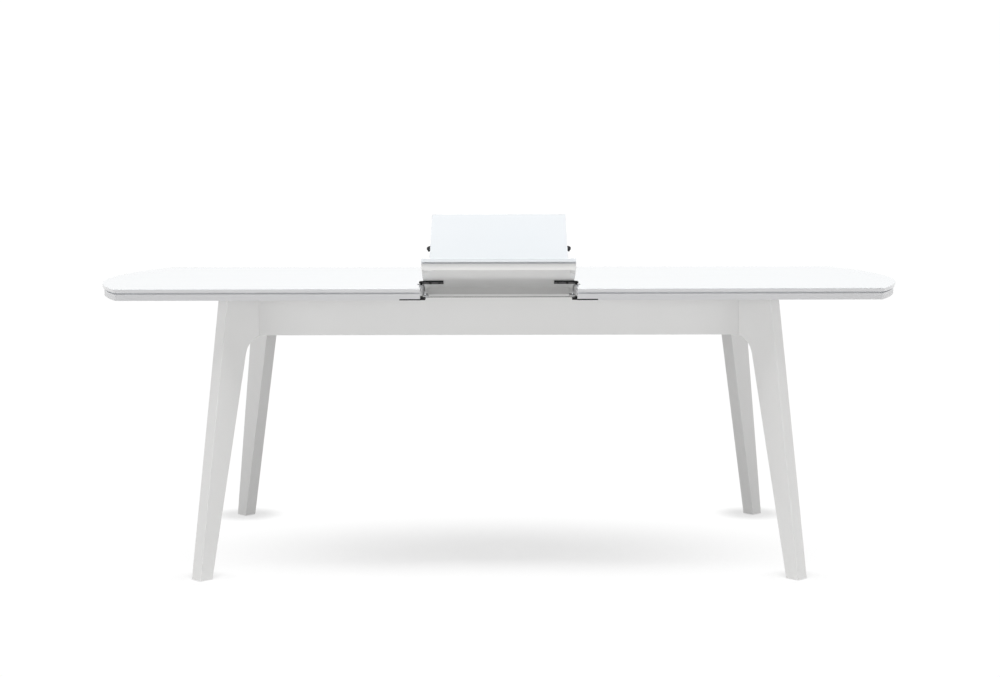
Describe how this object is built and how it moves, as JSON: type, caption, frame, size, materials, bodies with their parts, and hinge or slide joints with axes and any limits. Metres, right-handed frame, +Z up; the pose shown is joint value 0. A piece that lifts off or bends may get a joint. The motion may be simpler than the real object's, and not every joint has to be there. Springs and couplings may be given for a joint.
{
  "type": "butterfly leaf table",
  "caption": "White boat-shaped extending dining table with splayed fin legs, sliding tops and a folding butterfly leaf half raised in the middle.",
  "frame": {"origin": "on the floor under the middle of the table", "axes": "+X along the table's length, +Y from the front to the back, +Z up"},
  "size_m": [2.178, 0.9514, 0.9203],
  "materials": {
    "gloss_white": "gloss lacquer",
    "satin_white": "satin lacquer",
    "shadow_grey": "satin",
    "beech": "raw",
    "runner_alloy": "satin anodised",
    "black_steel": "satin powder coat",
    "zinc_steel": "zinc plated",
    "grey_nylon": "moulded"
  },
  "bodies": {
    "frame": {"bracket_screws": "zinc_steel", "channel_screws": "zinc_steel", "corner_block_front_left": "beech", "corner_block_front_right": "beech", "corner_block_rear_left": "beech", "corner_block_rear_right": "beech", "cross_rail_left": "satin_white", "cross_rail_right": "satin_white", "foot_glides": "grey_nylon", "front_apron": "satin_white", "front_channel": "runner_alloy", "left_apron": "satin_white", "leg_bolts": "zinc_steel", "leg_front_left": "satin_white", "leg_front_right": "satin_white", "leg_rear_left": "satin_white", "leg_rear_right": "satin_white", "pivot_bracket_left": "black_steel", "pivot_bracket_right": "black_steel", "pivot_bushes": "grey_nylon", "rail_dowels": "beech", "rear_apron": "satin_white", "rear_channel": "runner_alloy", "right_apron": "satin_white"},
    "left_top": {"left_leaf_rest_front": "black_steel", "left_leaf_rest_rear": "black_steel", "left_rest_screws": "zinc_steel", "left_runner_front": "runner_alloy", "left_runner_rear": "runner_alloy", "left_runner_screws": "zinc_steel", "left_top_core": "satin_white", "left_top_plate": "gloss_white", "left_top_spacer": "shadow_grey"},
    "right_top": {"right_leaf_rest_front": "black_steel", "right_leaf_rest_rear": "black_steel", "right_rest_screws": "zinc_steel", "right_runner_front": "runner_alloy", "right_runner_rear": "runner_alloy", "right_runner_screws": "zinc_steel", "right_top_core": "satin_white", "right_top_plate": "gloss_white", "right_top_spacer": "shadow_grey"},
    "leaf_front": {"fold_hinge_front_leaves": "zinc_steel", "fold_hinge_pins": "zinc_steel", "leaf_batten": "satin_white", "leaf_front_core": "satin_white", "leaf_front_plate": "gloss_white", "leaf_front_spacer": "shadow_grey", "leaf_pivot_pins": "zinc_steel", "tongue_plate_front_left": "black_steel", "tongue_plate_front_right": "black_steel", "tongue_screws_front": "black_steel"},
    "leaf_rear": {"fold_hinge_rear_leaves": "zinc_steel", "leaf_rear_core": "satin_white", "leaf_rear_plate": "gloss_white", "leaf_rear_spacer": "shadow_grey", "tongue_plate_rear_left": "black_steel", "tongue_plate_rear_right": "black_steel", "tongue_screws_rear": "black_steel"}
  },
  "joints": [
    {"name": "leaf_tilt", "type": "hinge", "parent": "frame", "child": "leaf_front", "pos_m": [0, -0.147, 0.72], "axis": [-1, 0, 0], "range_deg": [-14.95, 48]},
    {"name": "leaf_fold", "type": "hinge", "parent": "leaf_front", "child": "leaf_rear", "pos_m": [0, 0.00534, 0.72059], "axis": [1, 0, 0], "range_deg": [-41.3, 132.5]},
    {"name": "left_slide", "type": "slide", "parent": "frame", "child": "left_top", "axis": [-1, 0, 0], "range_m": [-0.0025, 0.012]},
    {"name": "right_slide", "type": "slide", "parent": "frame", "child": "right_top", "axis": [1, 0, 0], "range_m": [-0.0025, 0.012]}
  ],
  "couplings": [
    {"joint": "leaf_fold", "follows": "leaf_tilt", "ratio": 2.76}
  ]
}
